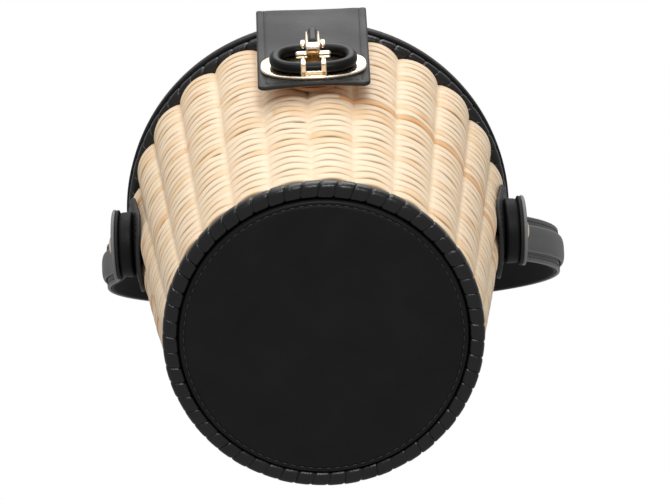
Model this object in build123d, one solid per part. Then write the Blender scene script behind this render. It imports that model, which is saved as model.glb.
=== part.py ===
from build123d import *
from math import asin, atan, cos, degrees, pi, radians, sin, sqrt
import os

# Wicker bucket bag, standing on its base: +Z up, front towards -Y, millimetres.
# The origin is the middle of the leather disc that the bag stands on.

# Basket
base_crest_radius = 65.2      # outside of the weave where it leaves the base binding
top_crest_radius = 90.4       # outside of the weave under the top binding
wall_bottom = 8.0
wall_height = 160.0
wall_depth = 5.6              # crest of the weave to the smooth inside
flute_count = 24
flute_turn = -2.3             # degrees from the front to the first valley
flute_depth_base = 1.5
flute_depth_top = 3.8
flute_growth = 1.4            # how late the flutes deepen on the way up
row_count = 27
row_relief = 0.9              # depth of the line between two rows on a crest
valley_relief = 0.3           # the same line in a valley

# Laced bindings
binding_width = 7.0
binding_height = 7.4
binding_lift = 0.6            # base binding above the standing face
binding_groove = 0.86         # size of the section between two wraps
base_wraps = 58
top_wraps = 72
binding_overhang = 1.6        # top binding outside the crest of the weave

# Base and lining
disc_gap = 1.0                # base disc and boards inside their binding
disc_thickness = 3.0
disc_edge_round = 1.3
board_thickness = 2.0
woven_base_thickness = 3.2
lining_thickness = 1.0
lining_gap = 1.9              # room for the rivet ends behind the lining
seat_gap = 0.3

# Lid
lid_overhang = 2.7            # lid edge outside the crest of the weave
lid_edge_width = 3.2
lid_edge_height = 8.4
lid_edge_round = 1.5
lid_board_thickness = 3.0
lid_lining_thickness = 1.2
lid_cover_rise = 2.2          # crown of the lid above its edge
lid_shoulder = 7.0

# Flap at the front
flap_width_top = 52.5
flap_width_bottom = 48.5
flap_leather = 1.8
flap_lining_leather = 1.0
flap_lining_inset = 0.4
flap_stand_off = 4.6          # back of the flap to the crest of the weave
flap_bottom = 88.0
flap_bottom_rise = 2.6        # hollow of the lower edge
flap_corner = 4.0
flap_fold_radius = 7.0
flap_on_lid = 52.0            # length of the flap that lies on the lid

# Lock on the flap
lock_height = 107.5           # middle of the lock above the base
lock_plate_width = 48.0
lock_plate_height = 31.0
lock_plate_thickness = 1.4
ring_width = 40.0
ring_height = 26.4
ring_band = 4.6
ring_depth = 5.6
ring_round = 1.9
spindle_diameter = 4.0
hub_side = 5.6
cross_bar_diameter = 3.0
cross_bar_length = 15.6
link_length = 31.0
link_width = 7.6
link_side_bar = 1.5
link_thickness = 2.8
link_gap = 0.5                # link above the ring
tongue_crown = 0.6
clamp_width = 11.6
clamp_foot = 2.2
backplate_diameter = 22.0
backplate_thickness = 1.0
magnet_diameter = 16.0
magnet_thickness = 1.6
running_gap = 0.05            # shaft in its hole

# Hinge at the back
hinge_width = 36.0
hinge_leather = 2.0
hinge_on_lid = 30.0
hinge_on_wall = 34.0
hinge_split = 0.25            # half of the fold left between the two leaves
hinge_step = 0.1              # lower leaf inside the upper one at the fold

# Handle and its fixings
pivot_height = 136.0
strap_width = 22.0
strap_leather = 1.7
strap_lining = 1.5
strap_stand_off = 7.34        # inside of the strap to the crest of the weave
strap_straight = 17.0         # straight strap above the stud
arch_flare = 9.142            # how gently the arch leaves the straight strap
arch_bulge = 20.7             # arch radius beyond the strap at the stud
arch_sway = 7.0               # the soft handle leans to the right
handle_lean = 25.0            # degrees towards the back
paddle_radius = 16.5
pad_width = 13.0
pad_height = 2.6
pad_start = 9.0               # pad begins this far above the stud
stud_diameter = 4.0
stud_head_diameter = 9.0
stud_head_height = 2.4
stud_head_round = 1.68
tab_width = 38.0
tab_height = 46.0
tab_leather = 2.0
tab_corner = 12.0
tab_clearance = 0.15          # tab to the crest of the weave
washer_diameter = 20.0
washer_sunk = 4.0             # washer blank started this far inside the weave's crest
burr_diameter = 10.0
burr_thickness = 1.2
cut_margin = 1.0              # how far cutting shapes pass the solid they cut

wall_top = wall_bottom + wall_height
flare = (top_crest_radius - base_crest_radius) / wall_height
flare_angle = degrees(atan(flare))
slant = cos(radians(flare_angle))
inner_gap = wall_depth / slant
lid_radius = top_crest_radius + lid_overhang
disc_radius = base_crest_radius - binding_width - disc_gap
lid_bottom = wall_top + binding_height + seat_gap
lid_top = lid_bottom + lid_edge_height + lid_cover_rise
stud_hole = stud_diameter + 2 * running_gap


def crest_radius(z):
    """Outside of the weave on a crest at height z."""
    return base_crest_radius + flare * (z - wall_bottom)


def wall_radius(z, away):
    """Radius of the cone that lies the given distance outside the crests."""
    return crest_radius(z) + away / slant


def closed_ring(sections):
    """Ruled half ring through the sections, and its other half turned about Z."""
    half = Solid.make_loft(sections, ruled=True)
    return half + Rot(0, 0, 180) * half


def cone_shell(z_low, z_high, away_in, away_out, angle_mid, angle_span):
    """Piece of the conical shell between two distances outside the crests."""
    outline = Polyline(
        (wall_radius(z_low, away_in), z_low),
        (wall_radius(z_low, away_out), z_low),
        (wall_radius(z_high, away_out), z_high),
        (wall_radius(z_high, away_in), z_high),
        close=True,
    )
    section = Plane.XZ * make_face(outline)
    shell = revolve(section, axis=Axis.Z, revolution_arc=angle_span)
    return Rot(0, 0, angle_mid - angle_span / 2) * shell


def turned(points):
    """Solid turned about Z from an outline of (radius, height) points."""
    return revolve(Plane.XZ * make_face(Polyline(*points, close=True)), axis=Axis.Z)


def rod_x(diameter, x_low, x_high, height):
    """Round rod along X through (0, 0, height)."""
    middle = Pos((x_low + x_high) / 2, 0, height) * Rot(0, 90, 0)
    return middle * Cylinder(diameter / 2, x_high - x_low)


def mirrored(solid):
    return mirror(solid, about=Plane.YZ)


# Basket wall
def weave_section(step):
    """One polygon round the wall: even steps lie between rows, odd ones on a row."""
    z = wall_bottom + wall_height * step / (2 * row_count)
    share = (z - wall_bottom) / wall_height
    depth = flute_depth_base + (flute_depth_top - flute_depth_base) * share**flute_growth
    between = step % 2 == 0
    crest = crest_radius(z) - (row_relief if between else 0)
    valley = crest_radius(z) - depth - (valley_relief if between else 0)
    points = []
    for i in range(3 * flute_count):
        angle = radians(flute_turn - 90 + i * 120 / flute_count)
        radius = valley if i % 3 == 0 else crest
        points.append((radius * cos(angle), radius * sin(angle), z))
    return Wire.make_polygon(points, close=True)


def make_wicker_wall():
    cut_low = wall_bottom - cut_margin
    cut_high = wall_top + cut_margin
    outside = Solid.make_loft([weave_section(i) for i in range(2 * row_count + 1)], ruled=True)
    inside = turned([
        (0, cut_low),
        (crest_radius(cut_low) - inner_gap, cut_low),
        (crest_radius(cut_high) - inner_gap, cut_high),
        (0, cut_high),
    ])
    reach = crest_radius(cut_high)
    return outside - inside - rod_x(stud_hole, -reach, reach, pivot_height)


# Laced bindings: a hexagon carried round the rim, smaller between two wraps
def make_binding(middle_radius, z_low, wraps):
    half_width = binding_width / 2
    half_height = binding_height / 2
    corners = [(-1, 0), (-0.5, -1), (0.5, -1), (1, 0), (0.5, 1), (-0.5, 1)]
    sections = []
    for i in range(wraps + 1):
        angle = pi * i / wraps
        size = binding_groove if i % 2 == 0 else 1
        points = []
        for across, up in corners:
            radius = middle_radius + across * half_width * size
            z = z_low + half_height + up * half_height * size
            points.append((radius * cos(angle), radius * sin(angle), z))
        sections.append(Wire.make_polygon(points, close=True))
    return closed_ring(sections)


base_binding_radius = base_crest_radius - binding_width / 2
top_binding_radius = top_crest_radius + binding_overhang - binding_width / 2
board_top = disc_thickness + board_thickness
woven_base_top = board_top + woven_base_thickness
inner_floor_radius = crest_radius(woven_base_top) - inner_gap - lining_gap
inner_mouth_radius = crest_radius(wall_top) - inner_gap - lining_gap

wicker_wall = make_wicker_wall()
base_binding = make_binding(base_binding_radius, binding_lift, base_wraps)
top_binding = make_binding(top_binding_radius, wall_top, top_wraps)

base_disc = Pos(0, 0, disc_thickness / 2) * Cylinder(disc_radius, disc_thickness)
base_disc = fillet(base_disc.faces().sort_by(Axis.Z)[0].edges(), disc_edge_round)
base_board = Pos(0, 0, disc_thickness + board_thickness / 2) * Cylinder(disc_radius, board_thickness)
woven_base = Pos(0, 0, board_top + woven_base_thickness / 2) * Cylinder(disc_radius, woven_base_thickness)

lining = turned([
    (0, woven_base_top),
    (inner_floor_radius, woven_base_top),
    (inner_mouth_radius, wall_top),
    (inner_mouth_radius - lining_thickness, wall_top),
    (inner_floor_radius - lining_thickness, woven_base_top + lining_thickness),
    (0, woven_base_top + lining_thickness),
])

# Lid
lid_edge_top = lid_bottom + lid_edge_height
lid_inner_radius = lid_radius - lid_edge_width
lid_board_bottom = lid_bottom + lid_lining_thickness
lid_board_top = lid_board_bottom + lid_board_thickness

lid_edge = turned([
    (lid_inner_radius, lid_bottom),
    (lid_radius, lid_bottom),
    (lid_radius, lid_edge_top),
    (lid_inner_radius, lid_edge_top),
])
lid_edge = fillet(
    lid_edge.edges().filter_by(GeomType.CIRCLE).sort_by(SortBy.RADIUS)[-2:], lid_edge_round
)
lid_lining = Pos(0, 0, lid_bottom + lid_lining_thickness / 2) * Cylinder(
    lid_inner_radius, lid_lining_thickness
)
lid_board = Pos(0, 0, lid_board_bottom + lid_board_thickness / 2) * Cylinder(
    lid_inner_radius, lid_board_thickness
)
lid_cover = turned([
    (0, lid_board_top),
    (lid_inner_radius, lid_board_top),
    (lid_inner_radius, lid_edge_top),
    (lid_inner_radius - lid_shoulder, lid_top),
    (0, lid_top),
])

# Flap: a bent band over the front edge of the lid, in two layers
front_plane = Plane(
    origin=(0, -crest_radius(lock_height), lock_height),
    x_dir=(1, 0, 0),
    z_dir=(0, -slant, -slant * flare),
)
flap_thickness = flap_leather + flap_lining_leather
flap_face = flap_stand_off + flap_thickness
flap_start = -(lid_radius - flap_on_lid)


def flap_layer(away_in, away_out, width_cut):
    """Layer of the flap between two distances outside the crests."""
    rise_in = lid_top + away_in - flap_stand_off
    rise_out = lid_top + away_out - flap_stand_off
    under = [
        (flap_start, rise_in),
        (-wall_radius(rise_in, away_in), rise_in),
        (-wall_radius(flap_bottom, away_in), flap_bottom),
    ]
    over = [
        (-wall_radius(flap_bottom, away_out), flap_bottom),
        (-wall_radius(rise_out, away_out), rise_out),
        (flap_start, rise_out),
    ]
    radius_in = flap_fold_radius + away_in - flap_stand_off
    radius_out = flap_fold_radius + away_out - flap_stand_off
    outline = FilletPolyline(*under, radius=radius_in)
    outline += Line(under[-1], over[0])
    outline += FilletPolyline(*over, radius=radius_out)
    outline += Line(over[-1], under[0])
    band = extrude(Plane.YZ * make_face(outline), amount=flap_width_top, both=True)
    half_top = flap_width_top / 2 - width_cut
    half_bottom = flap_width_bottom / 2 - width_cut
    low = flap_bottom + width_cut
    high = lid_top + flap_thickness + cut_margin
    front = Polyline((-half_bottom, low), (-half_top, high), (half_top, high), (half_bottom, low))
    front += ThreePointArc((half_bottom, low), (0, low + flap_bottom_rise), (-half_bottom, low))
    front_face = make_face(front)
    front_face = fillet(front_face.vertices().sort_by(Axis.Y)[:2], flap_corner)
    cutter = extrude(Plane.XZ * front_face, amount=lid_radius + 2 * flap_face)
    return band & cutter


def lock_solid(shape, low, high):
    """Flat shape on the lock's face, raised from one distance to another."""
    return extrude(front_plane.offset(low) * shape, amount=high - low)


plate_face = flap_face + lock_plate_thickness
ring_face = plate_face + ring_depth
link_low = ring_face + link_gap
link_high = link_low + link_thickness
spindle_hole = lock_solid(Circle(spindle_diameter / 2 + running_gap), 0, link_low)

flap_outer = flap_layer(flap_stand_off + flap_lining_leather, flap_face, 0) - spindle_hole
flap_lining = flap_layer(
    flap_stand_off, flap_stand_off + flap_lining_leather, flap_lining_inset
) - spindle_hole

lock_plate = lock_solid(
    Ellipse(lock_plate_width / 2, lock_plate_height / 2), flap_face, plate_face
) - spindle_hole
ring_outline = Ellipse(ring_width / 2, ring_height / 2)
ring_outline -= Ellipse(ring_width / 2 - ring_band, ring_height / 2 - ring_band)
lock_ring = lock_solid(ring_outline, plate_face, ring_face)
lock_ring = fillet(lock_ring.faces().sort_by(Axis.Y)[0].edges(), ring_round)
lock_backplate = lock_solid(
    Circle(backplate_diameter / 2), flap_stand_off - backplate_thickness, flap_stand_off
) - spindle_hole

# Clamp outside the lower run of the ring, with a horn on each side of the link
clamp_low = -lock_plate_height / 2 + 0.8
clamp_outline = Pos(0, (clamp_low - ring_height / 2) / 2) * Rectangle(
    clamp_width, abs(clamp_low) - ring_height / 2 + clamp_foot
)
clamp_outline -= ring_outline
lock_clamp = lock_solid(clamp_outline, plate_face, ring_face)

# Toggle that turns on the lock's spindle
toggle_spindle = lock_solid(
    Circle(spindle_diameter / 2), flap_stand_off - backplate_thickness, plate_face + running_gap
)
toggle_spindle += lock_solid(Rectangle(hub_side, hub_side), plate_face + running_gap, link_low)
bar_away = (plate_face + ring_face) / 2
bar_place = front_plane.offset(bar_away).location * Rot(0, 90, 0)
toggle_bar = bar_place * Cylinder(cross_bar_diameter / 2, cross_bar_length)
toggle_spindle -= toggle_bar
link_outline = RectangleRounded(link_width, link_length, link_width / 2 - 0.1)
tongue_width = link_width - 2 * link_side_bar
tongue_length = link_length - 2 * link_side_bar
tongue_outline = RectangleRounded(tongue_width, tongue_length, tongue_width / 2 - 0.1)
toggle_link = lock_solid(link_outline, link_low, link_high)
toggle_link -= lock_solid(tongue_outline, link_low + 1, link_high)
toggle_tongue = lock_solid(tongue_outline, link_low + 1, link_high + tongue_crown)

# Magnetic catch on the front of the basket, behind the lock
magnet_face = flap_stand_off - backplate_thickness - seat_gap
magnet_back = magnet_face - magnet_thickness
catch_magnet = lock_solid(Circle(magnet_diameter / 2), magnet_back, magnet_face)
catch_pad = lock_solid(Circle(backplate_diameter / 2), tab_clearance, magnet_back)

# Hinge: a leather strap from the lid down the back of the basket
hinge_away = binding_overhang
hinge_back = wall_radius(lid_bottom, hinge_away) + hinge_leather
hinge_height = lid_bottom


def hinge_leaf(outline):
    section = Plane.YZ * make_face(Polyline(*outline, close=True))
    return extrude(section, amount=hinge_width / 2, both=True)


hinge_inner = hinge_back - hinge_leather
hinge_leaf_lid = hinge_leaf([
    (hinge_inner, hinge_height + hinge_split),
    (hinge_back, hinge_height + hinge_split),
    (hinge_back, lid_top + hinge_leather),
    (lid_radius - hinge_on_lid, lid_top + hinge_leather),
    (lid_radius - hinge_on_lid, lid_top),
    (hinge_inner, lid_top),
])
hinge_low = wall_top - hinge_on_wall
hinge_foot = wall_radius(hinge_low, hinge_away)
hinge_leaf_basket = hinge_leaf([
    (hinge_foot, hinge_low),
    (hinge_foot + hinge_leather, hinge_low),
    (hinge_back - hinge_step, hinge_height - hinge_split),
    (hinge_inner - hinge_step, hinge_height - hinge_split),
])

# Side tabs, washers, rivet ends and studs
strap_thickness = strap_leather + strap_lining
strap_inside = crest_radius(pivot_height) + strap_stand_off
strap_middle = strap_inside + strap_thickness / 2
strap_outside = strap_inside + strap_thickness
stud_tool = rod_x(stud_hole, 0, strap_outside + cut_margin, pivot_height)


def patch_angle(width):
    """Angle of shell that holds a patch of this width with room on both sides."""
    return degrees(1.5 * width / crest_radius(pivot_height))


tab_low = pivot_height - tab_height
tab_high = pivot_height + tab_height
tab_away = tab_clearance + tab_leather
tab_shell = cone_shell(tab_low, tab_high, tab_clearance, tab_away, 0, patch_angle(tab_width))
tab_outline = Pos(0, pivot_height) * RectangleRounded(tab_width, tab_height, tab_corner)
tab_cutter = extrude(Plane.YZ * tab_outline, amount=2 * top_crest_radius)
side_tab = (tab_shell & tab_cutter) - stud_tool

washer_low = crest_radius(pivot_height) - washer_sunk
washer_blank = rod_x(washer_diameter, washer_low, strap_inside - running_gap, pivot_height)
tab_core = turned([
    (0, tab_low),
    (wall_radius(tab_low, tab_away), tab_low),
    (wall_radius(tab_high, tab_away), tab_high),
    (0, tab_high),
])
tab_washer = washer_blank - tab_core - stud_tool

burr_shell = cone_shell(
    pivot_height - burr_diameter, pivot_height + burr_diameter,
    -wall_depth - burr_thickness, -wall_depth, 0, patch_angle(burr_diameter),
)
burr_blank = rod_x(burr_diameter, 0, strap_outside, pivot_height)
rivet_burr = (burr_shell & burr_blank) - stud_tool
burr_inside = crest_radius(pivot_height) - inner_gap - burr_thickness
stud_shaft = rod_x(stud_diameter, burr_inside, strap_outside + running_gap, pivot_height)
stud_head = rod_x(
    stud_head_diameter, strap_outside + running_gap,
    strap_outside + running_gap + stud_head_height, pivot_height,
)
stud_head = fillet(stud_head.faces().sort_by(Axis.X)[-1].edges(), stud_head_round)
stud = stud_shaft + stud_head


# Handle: a flat band bent to an arch in its own plane, then leaned back about the studs
arch_radius = strap_middle + arch_bulge
arch_rise = sqrt(arch_radius**2 - (strap_middle - arch_sway)**2) + arch_flare


def arch_half(offset, side):
    """Line of the arch at the given distance outside its middle, on one side."""
    across = strap_middle - side * arch_sway
    radius = arch_radius + offset
    flare_radius = (across**2 + arch_rise**2 - arch_radius**2) / (2 * (arch_radius - across))
    turn = asin(arch_rise / (arch_radius + flare_radius))
    flare_out = flare_radius - offset
    start = (side * (strap_middle + offset), strap_straight)
    flare_mid = (
        side * (strap_middle + flare_radius - flare_out * cos(turn / 2)),
        strap_straight + flare_out * sin(turn / 2),
    )
    flare_end = (
        side * (strap_middle + flare_radius - flare_out * cos(turn)),
        strap_straight + flare_out * sin(turn),
    )
    middle = (pi / 2 - turn) / 2
    arc_mid = (
        arch_sway + side * radius * cos(middle),
        strap_straight + arch_rise + radius * sin(middle),
    )
    top = (arch_sway, strap_straight + arch_rise + radius)
    return start, flare_mid, flare_end, arc_mid, top


def arch_line(offset, start_height):
    """Both halves of the arch as one line, from one end to the other."""
    left = arch_half(offset, -1)
    right = arch_half(offset, 1)
    line = Line((left[0][0], start_height), left[0])
    line += ThreePointArc(*left[0:3])
    line += ThreePointArc(left[2], left[3], left[4])
    line += ThreePointArc(right[4], right[3], right[2])
    line += ThreePointArc(*reversed(right[0:3]))
    line += Line(right[0], (right[0][0], start_height))
    return line


def arch_band(offset_in, offset_out, width, start_height):
    """Band between two distances from the middle of the strap."""
    inner = arch_line(offset_in, start_height)
    outer = arch_line(offset_out, start_height)
    outline = inner + outer
    for side in (-1, 1):
        outline += Line(
            (side * (strap_middle + offset_in), start_height),
            (side * (strap_middle + offset_out), start_height),
        )
    return extrude(Plane.XZ * make_face(outline), amount=width / 2, both=True)


def at_stud(solid):
    """From the handle's own plane to its place on the bag."""
    return Pos(0, 0, pivot_height) * Rot(-handle_lean, 0, 0) * solid


half_strap = strap_thickness / 2
lining_line = -half_strap + strap_lining
pivot_hole = rod_x(stud_hole, -2 * arch_radius, 2 * arch_radius, 0)


def with_paddles(band, offset_in, offset_out):
    """The band with a round end on each stud."""
    for side in (-1, 1):
        ends = sorted((side * (strap_middle + offset_in), side * (strap_middle + offset_out)))
        band += rod_x(2 * paddle_radius, ends[0], ends[1], 0)
    return band - pivot_hole


handle_lining = at_stud(with_paddles(
    arch_band(-half_strap, lining_line, strap_width, 0), -half_strap, lining_line
))
handle_strap = at_stud(with_paddles(
    arch_band(lining_line, half_strap, strap_width, 0), lining_line, half_strap
))
handle_pad = at_stud(arch_band(half_strap, half_strap + pad_height, pad_width, pad_start))

parts = {
    "wicker_wall": wicker_wall,
    "base_binding": base_binding,
    "top_binding": top_binding,
    "base_disc": base_disc,
    "base_board": base_board,
    "woven_base": woven_base,
    "lining": lining,
    "lid_edge": lid_edge,
    "lid_lining": lid_lining,
    "lid_board": lid_board,
    "lid_cover": lid_cover,
    "flap_outer": flap_outer,
    "flap_lining": flap_lining,
    "lock_plate": lock_plate,
    "lock_ring": lock_ring,
    "lock_clamp": lock_clamp,
    "lock_backplate": lock_backplate,
    "toggle_spindle": toggle_spindle,
    "toggle_bar": toggle_bar,
    "toggle_link": toggle_link,
    "toggle_tongue": toggle_tongue,
    "catch_pad": catch_pad,
    "catch_magnet": catch_magnet,
    "hinge_leaf_lid": hinge_leaf_lid,
    "hinge_leaf_basket": hinge_leaf_basket,
    "side_tab_right": side_tab,
    "side_tab_left": mirrored(side_tab),
    "tab_washer_right": tab_washer,
    "tab_washer_left": mirrored(tab_washer),
    "rivet_burr_right": rivet_burr,
    "rivet_burr_left": mirrored(rivet_burr),
    "stud_right": stud,
    "stud_left": mirrored(stud),
    "handle_strap": handle_strap,
    "handle_lining": handle_lining,
    "handle_pad": handle_pad,
}

os.makedirs("parts", exist_ok=True)
for name, solid in parts.items():
    export_step(solid, f"parts/{name}.step")
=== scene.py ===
import bmesh
import bpy
import numpy as np
from math import asin, cos, pi, radians, sin
from mathutils import Matrix, Vector


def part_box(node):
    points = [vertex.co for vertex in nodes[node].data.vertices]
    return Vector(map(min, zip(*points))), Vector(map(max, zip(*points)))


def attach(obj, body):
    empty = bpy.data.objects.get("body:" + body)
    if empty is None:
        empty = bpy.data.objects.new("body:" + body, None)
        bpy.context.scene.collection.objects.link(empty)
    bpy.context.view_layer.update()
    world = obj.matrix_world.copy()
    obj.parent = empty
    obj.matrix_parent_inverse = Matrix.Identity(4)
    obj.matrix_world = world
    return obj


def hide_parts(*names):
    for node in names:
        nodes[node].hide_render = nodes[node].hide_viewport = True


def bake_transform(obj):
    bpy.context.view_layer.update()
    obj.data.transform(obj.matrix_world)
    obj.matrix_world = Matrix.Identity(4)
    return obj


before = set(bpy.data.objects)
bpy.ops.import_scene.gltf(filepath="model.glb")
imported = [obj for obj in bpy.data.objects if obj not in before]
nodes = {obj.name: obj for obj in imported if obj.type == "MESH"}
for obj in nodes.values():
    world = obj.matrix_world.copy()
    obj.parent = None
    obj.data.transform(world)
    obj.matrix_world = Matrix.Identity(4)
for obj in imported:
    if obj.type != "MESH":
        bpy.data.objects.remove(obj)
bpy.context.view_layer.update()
mm = 0.001
full = 2 * pi


# Meshes

# turns a grid of points into a mesh: corner (i, j) joins (i+1, j+1), wrapping where a side is closed
def gridObject(name, points, closeU=False, closeV=False, uv=None, marks={}, solid=True):
    n, m = points.shape[:2]
    fu, fv = n - (not closeU), m - (not closeV)
    i, j = np.meshgrid(np.arange(fu), np.arange(fv), indexing="ij")
    i2, j2 = (i + 1) % n, (j + 1) % m
    quads = np.stack([i * m + j, i2 * m + j, i2 * m + j2, i * m + j2], -1).reshape(-1, 4)
    flat = points.reshape(-1, 3)
    a, b, c, d = (flat[quads[:, k]] for k in range(4))
    volume = np.einsum("ij,ij->", a, np.cross(b, c)) + np.einsum("ij,ij->", a, np.cross(c, d))
    order = -1 if solid and volume < 0 else 1
    quads = quads[:, ::order]
    mesh = bpy.data.meshes.new(name)
    mesh.from_pydata(flat.tolist(), [], quads.tolist())
    if uv is not None:
        layer = mesh.uv_layers.new(name="surface")
        corners = np.stack([uv[i, j], uv[i + 1, j], uv[i + 1, j + 1], uv[i, j + 1]], 2)
        corners = corners.reshape(-1, 4, 2)[:, ::order]
        layer.data.foreach_set("uv", corners.astype(np.float32).ravel())
    for key, values in marks.items():
        layer = mesh.attributes.new(key, "FLOAT", "POINT")
        layer.data.foreach_set("value", values.astype(np.float32).ravel())
    return linkMesh(name, mesh)


def linkMesh(name, mesh):
    mesh.polygons.foreach_set("use_smooth", np.ones(len(mesh.polygons), bool))
    mesh.validate()
    obj = bpy.data.objects.new(name, mesh)
    bpy.context.scene.collection.objects.link(obj)
    return obj


# welds the rows of points that end in one pole
def weld(obj, distance=1e-6):
    work = bmesh.new()
    work.from_mesh(obj.data)
    bmesh.ops.remove_doubles(work, verts=work.verts, dist=distance)
    bmesh.ops.dissolve_degenerate(work, edges=work.edges, dist=1e-8)
    work.to_mesh(obj.data)
    work.free()
    return obj


# copies a small shape to many places: point = origin + x*X + y*Y + z*Z for each place's axes
def scatterObject(name, verts, faces, origins, axes):
    placed = origins[:, None, :] + np.einsum("vk,knc->nvc", verts, axes)
    many = faces + (np.arange(len(origins)) * len(verts))[:, None, None]
    mesh = bpy.data.meshes.new(name)
    mesh.from_pydata(placed.reshape(-1, 3).tolist(), [], many.reshape(-1, 4).tolist())
    return linkMesh(name, mesh)


# one stitch: a rounded bar along X, radius r*sqrt(1-(2x/l)^4) at x, with closed ends
def stitchShape(stitch):
    sides, rings = 6, 5
    x = np.linspace(-0.5, 0.5, rings)
    r = stitch["radius"] * np.sqrt(1 - (2 * x) ** 4 * 0.98)
    a = evenTurn(sides)
    cross = [np.outer(r, np.cos(a)).ravel(), np.outer(r, np.sin(a)).ravel()]
    verts = np.stack([np.repeat(x * stitch["length"], sides), *cross], 1)
    k, s = np.meshgrid(np.arange(rings - 1) * sides, np.arange(sides), indexing="ij")
    t = (s + 1) % sides
    around = np.stack([k + sides + s, k + sides + t, k + t, k + s], -1).reshape(-1, 4)
    first, last = [[2, 3, 4, 5], [5, 0, 1, 2]], np.array([[3, 2, 1, 0], [0, 5, 4, 3]])
    return verts, np.vstack([around, first, last + sides * (rings - 1)])


# a smooth repeating noise over one turn: sum of cosines with seeded phases
def turnNoise(rng, turn, waves, count=1):
    total = np.zeros((count, turn.size))
    for w in waves:
        phase = rng.uniform(0, full, (count, 1))
        total += rng.normal(0, 1, (count, 1)) * np.cos(w * turn + phase)
    return total / np.sqrt(len(waves))


def smoothStep(low, high, x):
    t = np.clip((x - low) / (high - low), 0, 1)
    return t * t * (3 - 2 * t)


# a smooth hump of height 1: exp(-((x - middle)/width)^2)
def hump(x, middle, width):
    return np.exp(-(((x - middle) / width) ** 2))


def evenTurn(count):
    return np.arange(count) * full / count


# points round Z, at an angle from the front of the bag
def roundZ(radius, turn, z):
    return np.stack([radius * np.sin(turn), -radius * np.cos(turn), z + 0 * turn], -1)


# distance from the start of a line to each of its points
def pathLengths(line):
    return np.concatenate([[0], np.cumsum(np.linalg.norm(np.diff(line, axis=0), axis=1))])


# place and unit direction at s along a line in a plane, taken over a step on both sides
def alongPath(line, lengths, s, step):
    at, ahead, behind = (
        [np.interp(s + shift, lengths, line[:, k]) for k in (0, 1)] for shift in (0, step, -step)
    )
    da, db = ahead[0] - behind[0], ahead[1] - behind[1]
    size = np.hypot(da, db)
    return *at, da / size, db / size


# Materials

def makeMaterial(name):
    material = bpy.data.materials.new(name)
    material.use_nodes = True
    tree = material.node_tree
    return material, tree, tree.nodes["Principled BSDF"]


def setInputs(tree, node, inputs):
    for key, value in inputs.items():
        if isinstance(value, bpy.types.NodeSocket):
            tree.links.new(value, node.inputs[key])
        else:
            node.inputs[key].default_value = value


# adds a node with its inputs and settings, and gives one of its outputs
def nodeOn(tree, kind, output, inputs={}, **settings):
    node = tree.nodes.new("ShaderNode" + kind)
    for key, value in settings.items():
        setattr(node, key, value)
    setInputs(tree, node, inputs)
    return node.outputs[output]


# sRGB bytes to the linear colour that a shader takes
def colorOf(r, g, b):
    c = np.array([r, g, b]) / 255
    linear = np.where(c <= 0.04045, c / 12.92, ((c + 0.055) / 1.055) ** 2.4)
    return (*linear.tolist(), 1)


# mixes two colours, each a socket or sRGB bytes
def colorMix(tree, factor, *colors):
    first, second = (colorOf(*color) if isinstance(color, tuple) else color for color in colors)
    return nodeOn(tree, "Mix", 2, {0: factor, 6: first, 7: second}, data_type="RGBA")


def mathNode(tree, operation, first, second):
    return nodeOn(tree, "Math", 0, {0: first, 1: second}, operation=operation)


def mapRange(tree, value, fromLow, fromHigh, toLow, toHigh):
    limits = {"From Min": fromLow, "From Max": fromHigh, "To Min": toLow, "To Max": toHigh}
    return nodeOn(tree, "MapRange", "Result", {"Value": value, **limits})


def noiseOn(tree, vector, scale, detail=3.0, roughness=0.5):
    inputs = {"Vector": vector, "Scale": scale, "Detail": detail, "Roughness": roughness}
    return nodeOn(tree, "TexNoise", "Fac", inputs)


def attributeOn(tree, name):
    return nodeOn(tree, "Attribute", "Fac", attribute_name=name)


def mappedCoords(tree, scale=(1, 1, 1), uvName=None):
    source = nodeOn(tree, "UVMap", "UV", uv_map=uvName) if uvName else nodeOn(tree, "TexCoord", "Object")
    return nodeOn(tree, "Mapping", "Vector", {"Vector": source, "Scale": scale})


# colour, gloss and bump of a material
def setSurface(tree, shader, color, rough, height, strength, distance, specular=0.5, metallic=0.0):
    bump = nodeOn(tree, "Bump", "Normal", {"Height": height, "Strength": strength, "Distance": distance})
    inputs = {"Base Color": color, "Roughness": rough, "Normal": bump}
    setInputs(tree, shader, {**inputs, "Specular IOR Level": specular, "Metallic": metallic})


# cane: tone by strand, streaks along the strand, and painted shade in the gaps between rows
caneLook = {
    "pale": (248, 226, 196),
    "warm": (240, 206, 164),
    "orange": (224, 168, 114),
    "shade": (128, 90, 42),
    "streak": 0.14,
    "blotch": 0.45,
}


def wickerMaterial():
    material, tree, shader = makeMaterial("cane")
    streaks = noiseOn(tree, mappedCoords(tree, (30, 900, 1), "surface"), 1.0, 4.0, 0.6)
    blotches = noiseOn(tree, mappedCoords(tree, (60, 160, 1), "surface"), 1.0)
    ramp = tree.nodes.new("ShaderNodeValToRGB")
    tree.links.new(attributeOn(tree, "tone"), ramp.inputs["Fac"])
    first, last = ramp.color_ramp.elements
    first.position, first.color = 0.25, colorOf(*caneLook["pale"])
    last.position, last.color = 0.95, colorOf(*caneLook["orange"])
    ramp.color_ramp.elements.new(0.62).color = colorOf(*caneLook["warm"])
    spots = mapRange(tree, blotches, 0.45, 0.75, 0.0, caneLook["blotch"])
    color = colorMix(tree, spots, ramp.outputs["Color"], caneLook["warm"])
    lines = mapRange(tree, streaks, 0.4, 0.8, 0.0, caneLook["streak"])
    color = colorMix(tree, lines, color, caneLook["orange"])
    # painted shade: the groove mark darkens the cane towards the shade colour in the gaps between rows
    color = colorMix(tree, attributeOn(tree, "groove"), color, caneLook["shade"])
    setSurface(tree, shader, color, 0.58, streaks, 0.35, 0.0004, 0.35)
    return material
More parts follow.
